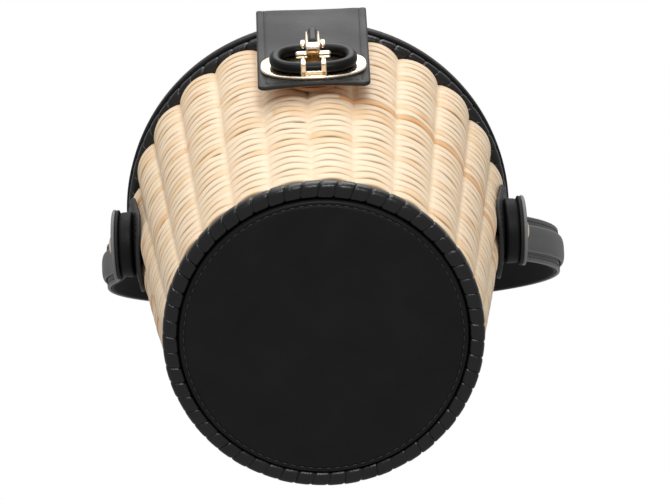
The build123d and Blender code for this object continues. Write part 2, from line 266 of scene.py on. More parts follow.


# leather: fine grain with a wide sheen, a lighter edge line that is partly edge paint and partly painted
# highlight, and painted shade in the creases
def leatherMaterial(name, base, light, rough, grain=900, depth=0.0002, sheen=0.25, edgePaintAndHighlight=44):
    material, tree, shader = makeMaterial(name)
    coords = mappedCoords(tree)
    cells = nodeOn(tree, "TexVoronoi", "Distance", {"Vector": coords, "Scale": grain})
    patches = noiseOn(tree, coords, 45, 4.0)
    fine = noiseOn(tree, coords, grain * 2.2, 2.0)
    color = colorMix(tree, mapRange(tree, patches, 0.35, 0.7, 0.0, 1.0), base, light)
    # lighter edge line: edge paint and a painted highlight along the lit edges
    color = colorMix(tree, attributeOn(tree, "edge"), color, (edgePaintAndHighlight, edgePaintAndHighlight, edgePaintAndHighlight + 1))
    # painted shade: near black where the groove mark lies in creases, slits and grooves
    color = colorMix(tree, attributeOn(tree, "groove"), color, (5, 5, 5))
    gloss = mapRange(tree, patches, 0.3, 0.7, rough - 0.05, rough + 0.07)
    height = mathNode(tree, "ADD", mathNode(tree, "MULTIPLY", cells, 0.8), fine)
    setSurface(tree, shader, color, gloss, height, 0.35, depth, sheen)
    return material


# polished metal: thin scratches vary the gloss, faint tarnish varies the colour
def metalMaterial(name, base, tarnish, rough):
    material, tree, shader = makeMaterial(name)
    spots = mapRange(tree, noiseOn(tree, mappedCoords(tree), 220, 4.0), 0.5, 0.8, 0.0, 0.5)
    lines = noiseOn(tree, mappedCoords(tree, (3000, 200, 600)), 1.0, 2.0)
    gloss = mapRange(tree, lines, 0.3, 0.8, rough * 0.7, rough * 1.5)
    color = colorMix(tree, spots, base, tarnish)
    setSurface(tree, shader, color, gloss, lines, 0.05, 0.0001, metallic=1.0)
    return material


# woven cloth: two crossed sets of fine waves
def clothMaterial(name, base, light):
    material, tree, shader = makeMaterial(name)
    inputs = {"Vector": mappedCoords(tree), "Scale": 420, "Distortion": 0.6}
    weave = [nodeOn(tree, "TexWave", "Fac", inputs, bands_direction=way) for way in ("X", "Z")]
    height = mathNode(tree, "MULTIPLY", *weave)
    setSurface(tree, shader, colorMix(tree, height, base, light), 0.85, height, 0.4, 0.0003)
    return material


# enamel and thread: one noise makes the waves or the fibres, light on dark
def noiseMaterial(name, base, light, scale, rough, strength, distance, specular=0.5):
    material, tree, shader = makeMaterial(name)
    noise = noiseOn(tree, mappedCoords(tree), scale, 2.0)
    setSurface(tree, shader, colorMix(tree, noise, base, light), rough, noise, strength, distance, specular)
    return material


cane = wickerMaterial()
blackLeather = leatherMaterial("blackLeather", (17, 17, 18), (25, 25, 26), 0.44)
discLeather = leatherMaterial("discLeather", (17, 17, 17), (23, 23, 23), 0.5, sheen=0.17)
lacedLeather = leatherMaterial("lacedLeather", (7, 7, 7), (13, 13, 13), 0.28, 1100, sheen=0.45)
flapLeather = leatherMaterial("flapLeather", (22, 22, 22), (32, 32, 32), 0.5, sheen=0.34, edgePaintAndHighlight=48)
edgeLeather = leatherMaterial("edgeLeather", (14, 14, 15), (20, 20, 21), 0.36, 1500, 0.0001)
# strap: black leather painted grey as a painted sheen of the lit outer face, with a painted highlight on its
# edges; the lining is its dark, shaded copy
strapLeatherPaintedSheen = leatherMaterial("strapLeatherPaintedSheen", (72, 72, 72), (88, 88, 88), 0.42, sheen=0.4, edgePaintAndHighlight=122)
strapLiningAndShade = leatherMaterial("strapLiningAndShade", (12, 12, 12), (18, 18, 18), 0.6, sheen=0.15)
# tan leather of the flap's lining, also used as a painted warm shadow on the catch pad
tanLiningAndShadow = leatherMaterial("tanLiningAndShadow", (186, 140, 100), (204, 160, 118), 0.6)
warmGold = metalMaterial("warmGold", (226, 170, 104), (196, 132, 68), 0.34)
gold = metalMaterial("gold", (252, 236, 212), (236, 200, 154), 0.2)
steel = metalMaterial("steel", (190, 190, 192), (150, 150, 152), 0.32)
enamel = noiseMaterial("enamel", (4, 4, 4), (9, 9, 9), 160, 0.36, 0.05, 0.0003, 0.2)
liningCloth = clothMaterial("liningCloth", (60, 52, 46), (92, 82, 72))
blackThread = noiseMaterial("blackThread", (16, 16, 17), (44, 44, 46), 2500, 0.5, 0.3, 0.0001)
boardStuff = clothMaterial("boardStuff", (120, 112, 98), (146, 136, 120))
print("materials ready")


def paint(obj, material):
    obj.data.materials.clear()
    obj.data.materials.append(material)


def finishPiece(obj, material, body, slot, *replaced):
    paint(obj, material)
    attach(obj, body)
    if replaced:
        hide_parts(*replaced)


# puts an object at a place with its -Z towards a target
def aimAt(obj, place, target):
    bpy.context.scene.collection.objects.link(obj)
    obj.location = place
    obj.rotation_mode = "QUATERNION"
    obj.rotation_quaternion = (Vector(target) - Vector(place)).to_track_quat("-Z", "Y")


# Camera first, at the photograph's angle: from below and in front, front of the bag upwards
camera = {
    "place": (-2.7 * mm, -274.3 * mm, -731.1 * mm),
    "lookAt": (6.7 * mm, -5.3 * mm, 100 * mm),
    "roll": -4.0,
    "lens": 104.5,
    "sensor": 36.0,
}


def makeCamera():
    data = bpy.data.cameras.new("camera")
    obj = bpy.data.objects.new("camera", data)
    data.lens = camera["lens"]
    data.sensor_width = camera["sensor"]
    data.clip_start, data.clip_end = 0.01, 50
    aimAt(obj, camera["place"], camera["lookAt"])
    obj.rotation_quaternion @= Matrix.Rotation(radians(camera["roll"]), 3, "Z").to_quaternion()
    bpy.context.scene.camera = obj


makeCamera()


# Wicker wall
wall = {
    "baseCrest": 65.2 * mm,
    "topCrest": 90.4 * mm,
    "flutes": 24,
    "firstValley": -2.3,    # degrees from the front
    "depthBase": 1.5 * mm,
    "depthTop": 3.8 * mm,
    "growth": 1.4,
    "bulge": 0.72,          # lower is a squarer bulge with a sharper valley
    "rows": 27,
    "crestRelief": 1.25 * mm,
    "valleyRelief": 0.4 * mm,
    "wallDepth": 5.6 * mm,
    "perFlute": 16,
    "wobble": 0.1,          # share of a row that its line wanders
    "gapVaries": 0.45,
    "splitOver": 1.55,      # a line opens where its noise is over this
    "splitDepth": 1.4,
    "swell": 0.16 * mm,
    "swellMost": 0.2 * mm,
    "seed": 11,
}
wallLow, wallHigh = (corner.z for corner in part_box("wicker_wall"))
wallHeight = wallHigh - wallLow
flare = (wall["topCrest"] - wall["baseCrest"]) / wallHeight
slant = 1 / np.sqrt(1 + flare**2)


def crestRadius(z):
    return wall["baseCrest"] + flare * (z - wallLow)


# radius = crest(z) - depth(z)*(1 - |sin(pi f)|^bulge) - relief*(1 - cane(t)),
# f across a flute, t across a row
def makeWickerWall():
    rng = np.random.default_rng(wall["seed"])
    rows, columns = wall["rows"], wall["flutes"] * wall["perFlute"]
    turn = evenTurn(columns) + radians(wall["firstValley"])
    wander = wall["wobble"] * turnNoise(rng, turn, (3, 7, 12, 19, 31), rows + 1)
    lines = np.arange(rows + 1)[:, None] + wander
    lines[0], lines[-1] = 0, rows
    gapDepth = 1 + wall["gapVaries"] * turnNoise(rng, turn, (5, 9, 17, 26), rows + 1)
    split = np.clip(turnNoise(rng, turn, (4, 11, 23, 37), rows + 1) - wall["splitOver"], 0, 1)
    across = np.array([0, 0.045, 0.11, 0.22, 0.4, 0.6, 0.78, 0.89, 0.955])
    row = np.append(np.repeat(np.arange(rows), across.size), rows - 1)
    t = np.append(np.tile(across, rows), 1.0)[:, None]
    share = (lines[row] * (1 - t) + lines[row + 1] * t) / rows
    z = wallLow + share * wallHeight
    f = (np.arange(columns) % wall["perFlute"]) / wall["perFlute"]
    bulge = np.abs(np.sin(pi * f)) ** wall["bulge"]
    depth = wall["depthBase"] + (wall["depthTop"] - wall["depthBase"]) * share ** wall["growth"]
    relief = wall["valleyRelief"] + (wall["crestRelief"] - wall["valleyRelief"]) * bulge**1.5
    caneShape = (1 - np.abs(2 * t - 1) ** 4.5) ** 0.5
    nearest = row + (t[:, 0] >= 0.5)
    lineGain, opened = gapDepth[nearest], split[nearest]
    swell = wall["swell"] * turnNoise(rng, turn, (2, 6, 13, 24), rows)[row]
    drop = relief * (1 - caneShape) * (lineGain.clip(0.35, 2.0) + wall["splitDepth"] * opened)
    radius = crestRadius(z) - depth * (1 - bulge) - drop + swell * bulge
    radius = np.minimum(radius, crestRadius(z) + wall["swellMost"])
    # groove mark: painted shade along the gaps between rows, stronger on the flute crests and where a gap
    # opens
    line = hump(np.minimum(t, 1 - t), 0, 0.1)
    groove = line * (0.12 + 0.88 * bulge**2) * (0.55 + 0.6 * lineGain.clip(0.0, 1.5))
    groove = (0.8 * groove + 0.9 * opened * line).clip(0, 1)
    tone = strandTone(rng, turn, rows)[row]
    innerZ = np.linspace(wallHigh, wallLow, 8)[:, None] + 0 * turn
    innerR = crestRadius(innerZ) - wall["wallDepth"]
    radius, z = np.vstack([radius, innerR]), np.vstack([z, innerZ])
    # the inner side gets a small, even share of the same painted shade
    marks = {"tone": np.vstack([tone, 0.5 + 0 * innerR]), "groove": np.vstack([groove, 0.15 + 0 * innerR])}
    v = np.append(z[:, 0], z[0, 0])
    u = np.arange(columns + 1) * full * wall["topCrest"] / columns
    uv = np.stack(np.meshgrid(v, u, indexing="ij")[::-1], -1)
    return gridObject("wickerWall", roundZ(radius, turn, z), True, True, uv, marks)


# each row's tone changes where one cane ends and the next begins, and a few canes are orange
def strandTone(rng, turn, rows):
    tone = np.zeros((rows, turn.size))
    for k in range(rows):
        cuts = np.sort(rng.uniform(0, full, 5))
        tones = rng.beta(1.6, 4.2, 6)
        tones[-1] = tones[0]
        tone[k] = tones[np.searchsorted(cuts, (turn - turn[0]) % full)]
    tone += 0.07 * turnNoise(rng, turn, (9, 21, 33, 48), rows)
    strong = rng.uniform(0, 1, (rows, wall["flutes"])) > 0.96
    tone += 0.35 * np.repeat(strong, wall["perFlute"], axis=1)
    return tone.clip(0, 1)


finishPiece(makeWickerWall(), cane, "basket", "wicker", "wicker_wall")
print("wicker wall ready")


# Laced bindings
binding = {
    "width": 7.0 * mm,
    "height": 7.4 * mm,
    "inside": 0.1 * mm,
    "square": 0.62,         # power of the section: 1 is an ellipse, lower is squarer
    "relief": 0.55 * mm,
    "slant": 0.14,          # share of a wrap that its edge runs sideways, inside to outside
    "uneven": 0.035,        # share of a wrap that its place varies
    "own": 0.07 * mm,
    "around": 28,
    "baseWraps": 58,
    "topWraps": 72,
    "seed": 5,
}


# section (a*cos^p, b*sin^p) carried round the rim, pulled in by relief*q(w) at each wrap's edges
def makeBinding(name, node, wraps):
    low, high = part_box(node)
    rng = np.random.default_rng(binding["seed"] + wraps)
    across = [0, 0.02, 0.05, 0.1, 0.2, 0.5, 0.8, 0.9, 0.95, 0.98]
    w, wrap = np.tile(across, wraps), np.repeat(np.arange(wraps), len(across))
    pull = np.abs(2 * w - 1) ** 9
    phi = evenTurn(binding["around"])
    c, s = np.cos(phi), np.sin(phi)
    place = wrap + w + rng.normal(0, binding["uneven"], wraps)[wrap] * (1 - pull)
    turn = (place[:, None] + binding["slant"] * (c + 0.35 * s)) * full / wraps
    own = binding["own"] * rng.normal(0, 1, wraps)[wrap]
    inset = (binding["inside"] + binding["relief"] * pull - own * (1 - pull))[:, None]
    a, b = binding["width"] / 2, binding["height"] / 2
    c, s = (np.sign(part) * np.abs(part) ** binding["square"] for part in (c, s))
    points = roundZ(high.y - a + c * (a - inset), turn, low.z + b + s * (b - inset))
    # groove mark: painted shade in the slits between the wraps
    groove = np.repeat(pull[:, None] ** 2.5, phi.size, 1)
    obj = gridObject(name, points, True, True, None, {"groove": groove})
    finishPiece(obj, lacedLeather, "basket", "laced", node)


makeBinding("baseBinding", "base_binding", binding["baseWraps"])
makeBinding("topBinding", "top_binding", binding["topWraps"])
print("bindings ready")


# Leather disc of the base
disc = {
    "wider": 1.1 * mm,      # leather turned over the edge of the disc
    "edgeRound": 1.7 * mm,
    "stitchInset": 2.0 * mm,
    "stitchDip": 0.35 * mm,
    "wave": 0.08 * mm,
    "seed": 3,
}
roundStitch = {"pitch": 3.6 * mm, "length": 2.6 * mm, "radius": 0.28 * mm}


# profile (r, z) turned about Z: flat face with a dip under the stitches, rounded edge, flat back
def makeBaseDisc():
    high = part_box("base_disc")[1]
    radius, edge = high.y + disc["wider"], disc["edgeRound"]
    stitchLine = radius - disc["stitchInset"]
    turn = evenTurn(192)
    arc = np.linspace(0, pi / 2, 8)[1:]
    middle, border = np.linspace(0, radius - 6 * mm, 10), np.linspace(radius - 5.5 * mm, radius - edge, 16)
    face = np.concatenate([middle, border])
    r = np.concatenate([face, radius - edge + edge * np.sin(arc), [radius, radius * 0.5, 0]])
    dip = disc["stitchDip"] * hump(face, stitchLine, 0.5 * mm)
    z = np.concatenate([dip, edge - edge * np.cos(arc), [high.z] * 3])
    wave = disc["wave"] * np.abs(turnNoise(np.random.default_rng(disc["seed"]), turn, (3, 5, 9)).T)
    z = z + wave * hump(r, radius - 1.5 * mm, 1.5 * mm)
    return weld(gridObject("baseDisc", roundZ(r, turn[:, None], z), True, False)), stitchLine


# stitches set round a circle, each lying along it
def ringOfStitches(name, radius, z, up):
    count = int(full * radius / roundStitch["pitch"])
    a = evenTurn(count)
    alongX = np.stack([np.cos(a), np.sin(a), 0 * a], 1)
    upZ = np.stack([0 * a, 0 * a, 0 * a + up], 1)
    axes = [alongX, np.cross(upZ, alongX), upZ]
    return scatterObject(name, *stitchShape(roundStitch), roundZ(radius, a, z), axes)


baseDisc, discLine = makeBaseDisc()
finishPiece(baseDisc, discLeather, "basket", "leather", "base_disc")
finishPiece(ringOfStitches("baseStitches", discLine, 0.22 * mm, -1), blackThread, "basket", "leather")
print("base ready")

for material, plain in (
    # the base board is painted black leather so the gap between the disc and the binding shows dark: painted
    # shade
    (discLeather, ["base_board"]),
    (boardStuff, ["woven_base", "lid_board"]),
    (liningCloth, ["lining", "lid_lining"]),
    # the flap lining is tan leather; the catch pad is painted tan as a painted shadow under the flap
    (tanLiningAndShadow, ["flap_lining", "catch_pad"]),
    (steel, ["lock_backplate", "catch_magnet", "rivet_burr_right", "rivet_burr_left"]),
):
    for node in plain:
        paint(nodes[node], material)


# Leather slabs

# sample places from low to high along a piece, closer together in its rounded ends, with half widths:
# in an end of radius c, s = c*(1 - cos(t)) and w = W - c*(1 - sin(t))
def slabRows(low, high, half, cornerLow, cornerHigh, step):
    arc = 1 - np.cos(np.linspace(0, pi / 2, 9))
    straight = np.linspace(low + cornerLow, high - cornerHigh, max(3, int((high - low) / step)))[1:-1]
    s = np.concatenate([low + cornerLow * arc, straight, (high - cornerHigh * arc)[::-1]])
    w = half(s) if callable(half) else half + 0 * s
    for corner, inside in ((cornerLow, low + cornerLow - s), (cornerHigh, s - high + cornerHigh)):
        w = w - np.where(inside > 0, corner - np.sqrt(np.maximum(0, corner**2 - inside**2)), 0)
    return s, w


# closed slab over a surface: outer = (T + T*q(d/r))/2 + extra, inner = (T - T*q(d/r))/2,
# with q(t) = sqrt(1 - (1 - t)^2) and d the distance to the outline
def slabObject(name, s, w, place, thick, edgeRound, extra, columns, ends=True, shift=None, shade=None):
    x = w[:, None] * np.sin(np.linspace(-pi / 2, pi / 2, columns))
    along = s[:, None] + 0 * x
    d = (w[:, None] - np.abs(x)) / np.sqrt(1 + np.gradient(w, s)[:, None] ** 2)
    if ends:
        d = np.minimum(d, np.minimum(along - s[0], s[-1] - along))
    q = np.sqrt(1 - (1 - np.clip(d / edgeRound, 0, 1)) ** 2)
    # edge mark: the lighter edge line, partly edge paint and partly painted highlight
    marks = {"edge": hump(d, 0, 0.45 * mm)}
    # the shade callback gives the groove mark, which carries painted shade
    if shade:
        marks["groove"] = shade(d, along)
    marks = {key: np.concatenate([mark, mark[:, ::-1]], 1) for key, mark in marks.items()}
    if shift:
        along = along + shift(x, along)
    outer, inner = thick / 2 * (1 + q), thick / 2 * (1 - q)
    if extra:
        outer = outer + extra(d, x, along) * q
    points, normals = place(x, along)
    top, low = (points + normals * away[..., None] for away in (outer, inner))
    grid = np.concatenate([top, low[:, ::-1]], 1)
    return weld(gridObject(name, grid, False, True, None, marks), 2e-6)


# stitches over a line of places (x, s) on a surface, each lying along the line
def lineOfStitches(name, place, x, s, height, stitch):
    points, normals = place(x, s)
    points = points + normals * height
    lengths = pathLengths(points)
    count = max(2, int(lengths[-1] / stitch["pitch"]))
    at = (np.arange(count) + 0.5) / count * lengths[-1]
    origins, ahead, behind, up = (
        np.stack([np.interp(at + shift, lengths, column) for column in line.T], 1)
        for line, shift in ((points, 0), (points, 0.3 * mm), (points, -0.3 * mm), (normals, 0))
    )
    alongX, sideY = ahead - behind, np.cross(up, ahead - behind)
    alongX, sideY = (axis / np.linalg.norm(axis, axis=1)[:, None] for axis in (alongX, sideY))
    return scatterObject(name, *stitchShape(stitch), origins, [alongX, sideY, np.cross(alongX, sideY)])


# profile (r, h) turned about an axis through a point
def turnedObject(name, profile, centre, axis, count):
    first = np.array((1, 0, 0) if abs(axis[0]) < 0.5 else (0, 1, 0))
    a = evenTurn(count)[:, None, None]
    ring = np.cos(a) * first + np.sin(a) * np.cross(axis, first)
    r, h = np.array(profile, float).T[..., None]
    return weld(gridObject(name, np.array(centre) + r * ring + h * np.array(axis), True, False))


# arc of a rounded corner from one angle to another, as (r, h) points
def roundedCorner(r, h, radius, start, end):
    a = np.radians(np.linspace(start, end, 6))
    return zip(r + radius * np.cos(a), h + radius * np.sin(a))


# joins several meshes into the first one
def joined(name, objects):
    with bpy.context.temp_override(active_object=objects[0], selected_editable_objects=objects):
        bpy.ops.object.join()
    objects[0].name = objects[0].data.name = name
    return objects[0]


# Flap over the front of the lid
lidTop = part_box("lid_cover")[1].z
flap = {
    "standOff": 4.6 * mm,
    "below": 5.4 * mm,      # how far the leather hangs below the board inside it
    "lining": 1.0 * mm,
    "leather": 1.8 * mm,
    "halfTop": 26.2 * mm,
    "halfLow": 24.25 * mm,
    "foldRadius": 8.0 * mm,
    "corner": 4.0 * mm,
    "hollow": 3.4 * mm,
    "skew": 1.6 * mm,       # how much shorter the right edge is
    "bendFrom": 30 * mm,    # the hollow and the skew grow over this length
    "edgeRound": 0.9 * mm,
    "groove": 3.6 * mm,
    "grooveWidth": 0.55 * mm,
    "grooveDepth": 0.3 * mm,
    "groovePaintedShade": 0.85,
    "lowPaintedShade": 0.7,
    "roll": 0.04 * mm,
    "rollAt": 1.6 * mm,
    "rollWidth": 1.1 * mm,
    "soft": 0.2 * mm,
}
flapStitch = {"pitch": 3.2 * mm, "length": 2.3 * mm, "radius": 0.22 * mm}


# line of the flap's back in the plane x = 0: over the lid, round the fold, down the front
def flapLine():
    away = flap["standOff"] + flap["lining"]
    top = lidTop + flap["lining"]
    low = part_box("flap_outer")[0].z - flap["below"]
    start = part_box("flap_outer")[1].y
    corner, end = (np.array([-(crestRadius(z) + away / slant), z]) for z in (top, low))
    turnBy = np.arccos(-flare * slant)
    a = pi / 2 + np.linspace(0, turnBy, 12)
    centre = corner + flap["foldRadius"] * np.array([np.tan(turnBy / 2), -1])
    arc = centre + flap["foldRadius"] * np.stack([np.cos(a), np.sin(a)], 1)
    return np.vstack([[start, top], arc, end])


flapPath = flapLine()
flapLengths = pathLengths(flapPath)
flapEnd = flapLengths[-1]


# point and normal of the flap's back at x across and s along
def flapPlace(x, s):
    y, z, dy, dz = alongPath(flapPath, flapLengths, s, 0.4 * mm)
    return np.stack([x, y, z], -1), np.stack([0 * x, dz, -dy], -1)


def flapHalf(s):
    z = np.interp(s, flapLengths, flapPath[:, 1])
    share = np.clip((z - flapPath[-1, 1]) / (flapPath[0, 1] - flapPath[-1, 1]), 0, 1)
    return flap["halfLow"] + (flap["halfTop"] - flap["halfLow"]) * share


# a groove runs inside the edge, the border outside it is slightly rolled, the rest slightly soft
def flapExtra(d, x, s):
    groove = -flap["grooveDepth"] * hump(d, flap["groove"], flap["grooveWidth"])
    roll = flap["roll"] * hump(d, flap["rollAt"], flap["rollWidth"])
    soft = flap["soft"] * np.sin(x * 95 + 1.2) * np.sin(s * 60 + 0.6) * smoothStep(3.6 * mm, 12 * mm, d)
    return groove + roll + soft


# painted shade in the stitched groove, and painted shade growing towards the lower end
def flapShade(d, s):
    line = flap["groovePaintedShade"] * hump(d, flap["groove"], 0.8 * flap["grooveWidth"])
    return np.maximum(line, flap["lowPaintedShade"] * smoothStep(flapEnd - 52 * mm, flapEnd - 4 * mm, s))


# the lower edge is drawn up into a hollow, and more so to the right
def flapShift(x, s):
    across = x / flap["halfLow"]
    hollow = flap["hollow"] * (1 - across**2).clip(0, None)
    short = flap["skew"] * (1 - (0.5 - 0.5 * across.clip(-1, 1)) ** 2)
    return -smoothStep(flapEnd - flap["bendFrom"], flapEnd, s) * (hollow + short + 0.1 * mm)


def makeFlap():
    s, w = slabRows(0, flapEnd, flapHalf, 0.6 * mm, flap["corner"], 1.6 * mm)
    obj = slabObject(
        "flapOuter", s, w, flapPlace, flap["leather"], flap["edgeRound"], flapExtra, 61,
        shift=flapShift, shade=flapShade,
    )
    finishPiece(obj, flapLeather, "lid", "leather", "flap_outer")
    run = np.linspace(3 * mm, flapEnd - flap["corner"] - 1 * mm, 120)
    right = np.stack([flapHalf(run) - flap["groove"], run], 1)
    across = np.linspace(1, -1, 60) * (right[-1, 0] - 2.4 * mm)
    low = np.stack([across, 0 * across + flapEnd - flap["groove"]], 1)
    x, s = np.vstack([right, low, (right * (-1, 1))[::-1]]).T
    height = flap["leather"] - flap["grooveDepth"] + 0.12 * mm
    stitches = lineOfStitches("flapStitches", flapPlace, x, s + flapShift(x, s), height, flapStitch)
    finishPiece(stitches, blackThread, "lid", "leather")


makeFlap()
print("flap ready")


# Lock on the flap
lockHeight = 107.5 * mm
lock = {
    "face": flap["standOff"] + flap["lining"] + flap["leather"],
    "plateHalf": (23.4 * mm, 15.6 * mm),
    "plateThick": 1.4 * mm,
    "plateEdge": 0.6 * mm,
    "square": 2.5,          # power of the ovals: 2 is an ellipse, higher is squarer
    "ringHalf": (16.7 * mm, 11.3 * mm),
    "ringTube": (2.7 * mm, 2.5 * mm),
    "capThick": 0.9 * mm,
    "foot": 2.4 * mm,
    "clampHalf": 5.6 * mm,
    "clampOuter": 14.7 * mm,
    "clampInner": 8.6 * mm,
    "clampBase": 2.2 * mm,
    "knob": 1.2 * mm,
    "hold": 0.5 * mm,       # how far the clamps reach into the ring
    "linkGap": 0.6 * mm,
    "linkFloor": 1.2 * mm,
    "linkThick": 2.8 * mm,
    "linkTop": 16.2 * mm,
    "linkHalf": 3.2 * mm,
    "tongueHalf": 2.0 * mm,
    "tongueThick": 2.3 * mm,
    "tongueLow": 3.2 * mm,
    "tongueTop": 19.2 * mm,
    "hub": 5.6 * mm,
    "barAway": 4.4 * mm,
    "barLength": 15.6 * mm,
    "barRadius": 1.5 * mm,
    "barEdge": 1.0 * mm,
}
lockOrigin = np.array([0, -crestRadius(lockHeight), lockHeight])
lockX = np.array([1.0, 0, 0])
lockN = np.array([0, -slant, -slant * flare])
lockY = np.cross(lockN, lockX)
plateFace = lock["face"] + lock["plateThick"]
ringFace = plateFace + 2 * lock["ringTube"][1]
capFace = ringFace + lock["capThick"]
linkLow = capFace + lock["linkGap"]


def lockPoint(x, y, away):
    x, y, away = (np.asarray(part)[..., None] for part in (x, y, away))
    return lockOrigin + x * lockX + y * lockY + away * lockN


# box with rounded edges between three pairs of places in the lock's own directions
def lockBox(name, xRange, yRange, awayRange, radius):
    low, high = np.sort([xRange, yRange, awayRange]).T
    middle = lockPoint(*(low + high) / 2)
    work = bmesh.new()
    bmesh.ops.create_cube(work, size=1)
    bmesh.ops.scale(work, vec=Vector(high - low), verts=work.verts)
    bmesh.ops.bevel(
        work, geom=work.edges[:], offset=radius, segments=3, profile=0.5, affect="EDGES", clamp_overlap=True
    )
    matrix = Matrix([*zip(lockX, lockY, lockN, middle), (0, 0, 0, 1)])
    bmesh.ops.transform(work, matrix=matrix, verts=work.verts)
    mesh = bpy.data.meshes.new(name)
    work.to_mesh(mesh)
    work.free()
    return linkMesh(name, mesh)


# an oval |x/a|^n + |y/b|^n = 1 as (x, y) over one turn
def ovalLine(a, b, count):
    t = evenTurn(count)
    c, s = (np.sign(part) * np.abs(part) ** (2 / lock["square"]) for part in (np.cos(t), np.sin(t)))
    return a * c, b * s


# oval plate: rings of the oval pulled in by r, at heights h, slightly domed
def makeLockPlate():
    a, b = lock["plateHalf"]
    thick, edge = lock["plateThick"], lock["plateEdge"]
    curve = np.radians(np.linspace(0, 80, 6))
    shrink = np.concatenate([[1, 0.3, 0, 0], edge / a * (1 - np.cos(curve)), [0.14, 0.5, 1]])
    dome = thick + np.array([0.05, 0.12, 0.15]) * mm
    high = np.concatenate([[0, 0, 0, 0.4 * mm], thick - edge + edge * np.sin(curve), dome])
    x, y = (line[:, None] * (1 - shrink) for line in ovalLine(a, b, 144))
    return weld(gridObject("lockPlate", lockPoint(x, y, lock["face"] + high), True, False))


# tube carried round an oval: section (p cos f, q sin f) on the oval's own normal
def makeLockRing():
    f = evenTurn(28)
    p, q = lock["ringTube"]
    line = np.stack([np.append(part, part[0]) for part in ovalLine(*lock["ringHalf"], 720)], 1)
    lengths = pathLengths(line)
    at = np.arange(160) / 160 * lengths[-1]
    cx, cy = (np.interp(at, lengths, part)[:, None] for part in line.T)
    tx, ty = (np.roll(part, -1) - np.roll(part, 1) for part in (cx, cy))
    out = p * np.cos(f) / np.hypot(tx, ty)
    points = lockPoint(cx + out * ty, cy - out * tx, plateFace + q + q * np.sin(f))
    return gridObject("lockRing", points, True, True)


# one clamp over the ring, below it (side -1) or above: a base, and two feet with caps and knobs
def clampParts(side):
    half, foot, knob = lock["clampHalf"], lock["foot"], lock["knob"]
    ringEdge = lock["ringHalf"][1] + lock["ringTube"][0] - lock["hold"]
    outside = (side * ringEdge, side * lock["clampOuter"])
    over = (side * lock["clampInner"], side * lock["clampOuter"])
    t = np.linspace(-pi / 2, pi / 2, 9)
    profile = [*zip(knob * np.cos(t), knob * np.sin(t))]
    parts = [lockBox("base", (-half, half), outside, (plateFace, plateFace + lock["clampBase"]), 0.35 * mm)]
    for low in (-half, half - foot):
        xRange = (low, low + foot)
        parts.append(lockBox("foot", xRange, outside, (plateFace, capFace), 0.5 * mm))
        parts.append(lockBox("cap", xRange, over, (ringFace - lock["hold"], capFace), 0.45 * mm))
        centre = lockPoint(low + foot / 2, over[0], capFace - knob * 0.7)
        parts.append(turnedObject("knob", profile, centre, lockN, 20))
    return parts


def makeLink():
    half, low, high = lock["linkHalf"], -lock["hub"] / 2, lock["linkTop"]
    rail = half - lock["tongueHalf"]
    deep = (linkLow, linkLow + lock["linkThick"])
    parts = [
        lockBox("floor", (-half, half), (low, high), (linkLow, linkLow + lock["linkFloor"]), 0.5 * mm),
        lockBox("heel", (-half, half), (low, lock["tongueLow"]), deep, 0.7 * mm),
    ]
    for x in (-half, half - rail):
        parts.append(lockBox("rail", (x, x + rail), (low + 1 * mm, high), deep, 0.5 * mm))
    return joined("toggleLink", parts)


# tongue: a half-round bar with a round upper end, w = W*sqrt(1 - u^2) over the end, height falls with it
def makeTongue():
    half = lock["tongueHalf"] - 0.05 * mm
    s, w = slabRows(lock["tongueLow"], lock["tongueTop"], half, 0.4 * mm, half, 1.2 * mm)

    def place(x, y):
        return lockPoint(x, y, linkLow + lock["linkFloor"]), lockN + 0 * x[..., None]

    return slabObject("toggleTongue", s, w, place, lock["tongueThick"], 1.5 * mm, None, 17)


def makeBar():
    radius, half, edge = lock["barRadius"], lock["barLength"] / 2, lock["barEdge"]
    low = roundedCorner(radius - edge, -half + edge, edge, -90, 0)
    high = roundedCorner(radius - edge, half - edge, edge, 0, 90)
    centre = lockPoint(0, 0, plateFace + lock["barAway"])
    return turnedObject("toggleBar", [(0, -half), *low, *high, (0, half)], centre, (1, 0, 0), 28)


finishPiece(makeLockPlate(), gold, "lid", "gold", "lock_plate")
finishPiece(makeLockRing(), enamel, "lid", "enamel", "lock_ring")
finishPiece(joined("lockClamp", clampParts(-1) + clampParts(1)), gold, "lid", "gold", "lock_clamp")
finishPiece(makeLink(), gold, "toggle", "gold", "toggle_link")
finishPiece(makeTongue(), enamel, "toggle", "enamel", "toggle_tongue")
finishPiece(makeBar(), gold, "toggle", "gold", "toggle_bar")
hubSpan = (-lock["hub"] / 2, lock["hub"] / 2)
hub = lockBox("toggleHub", hubSpan, hubSpan, (plateFace + 0.1 * mm, linkLow), 0.4 * mm)
finishPiece(hub, warmGold, "toggle", "gold", "toggle_spindle")
print("lock ready")


# Lid
lid = {
    "edgeTop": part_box("lid_edge")[1].z,
    "edgeLow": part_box("lid_edge")[0].z,
    "edgeRadius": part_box("lid_edge")[1].x,
    "edgeWidth": 3.2 * mm,
    "roundLow": 1.0 * mm,
    "roundTop": 1.5 * mm,
    "coverRadius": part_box("lid_cover")[1].x,
    "shoulder": 7.0 * mm,
    "stitchInset": 10.5 * mm,
}


